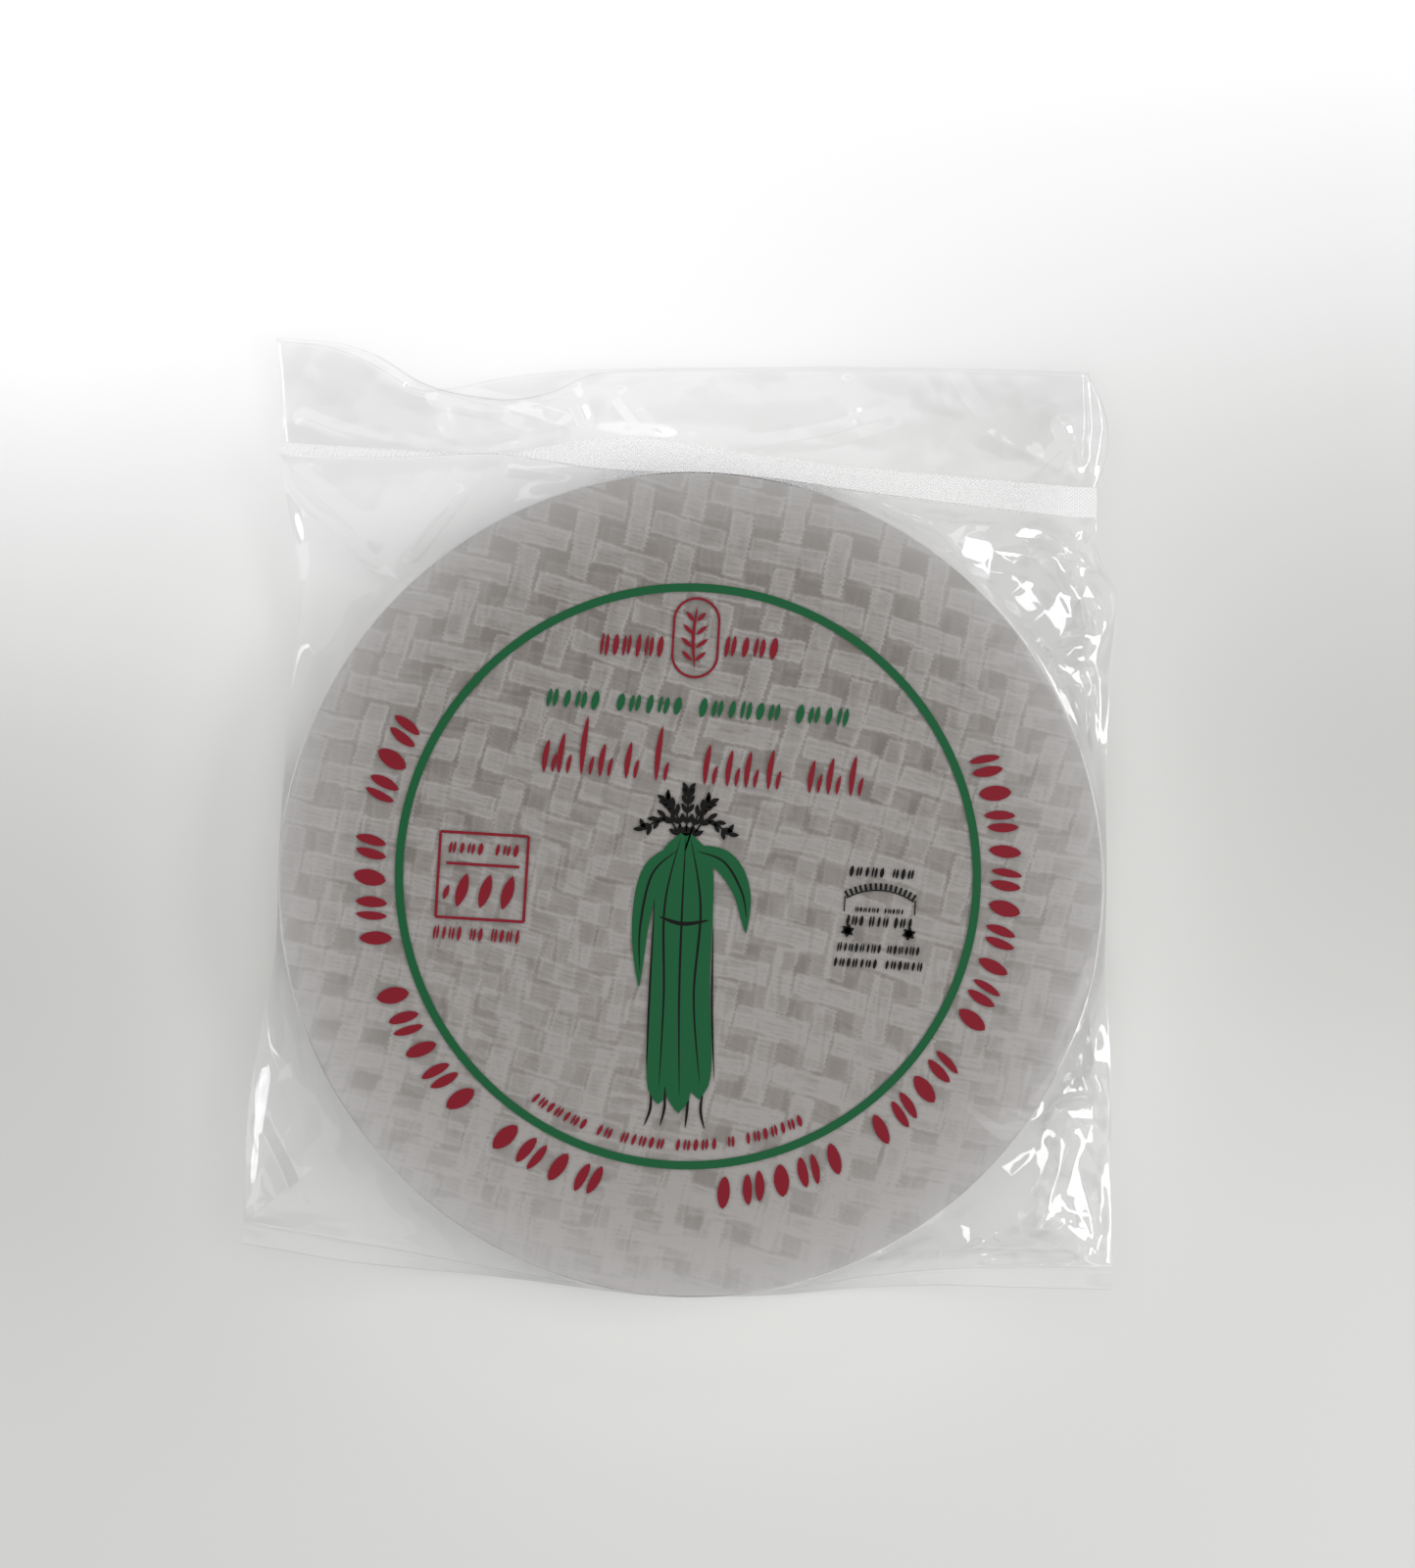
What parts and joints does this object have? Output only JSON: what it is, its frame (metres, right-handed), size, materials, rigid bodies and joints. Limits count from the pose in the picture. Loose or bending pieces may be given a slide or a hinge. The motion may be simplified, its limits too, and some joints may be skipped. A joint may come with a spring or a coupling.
{
  "type": "rice paper wrapper stack",
  "caption": "Round stack of dried rice paper wrappers shut in a clear flat film bag with a knurled seal band and loose header.",
  "frame": {"origin": "centre of the flat face that the stack rests on, under the middle of the round stack", "axes": "+Z out of the printed front as the bag lies on its back, +Y along the bag towards its open-ended header, +X to the right of the print"},
  "size_m": [0.24, 0.2558, 0.0186],
  "materials": {
    "clear_film": "clear glossy polypropylene film",
    "rice_paper": "dry translucent starch sheet with a woven bamboo imprint",
    "green_ink": "printed on the film",
    "red_ink": "printed on the film",
    "black_ink": "printed on the film"
  },
  "bodies": {
    "root": {"bag": "clear_film"}
  },
  "joints": []
}
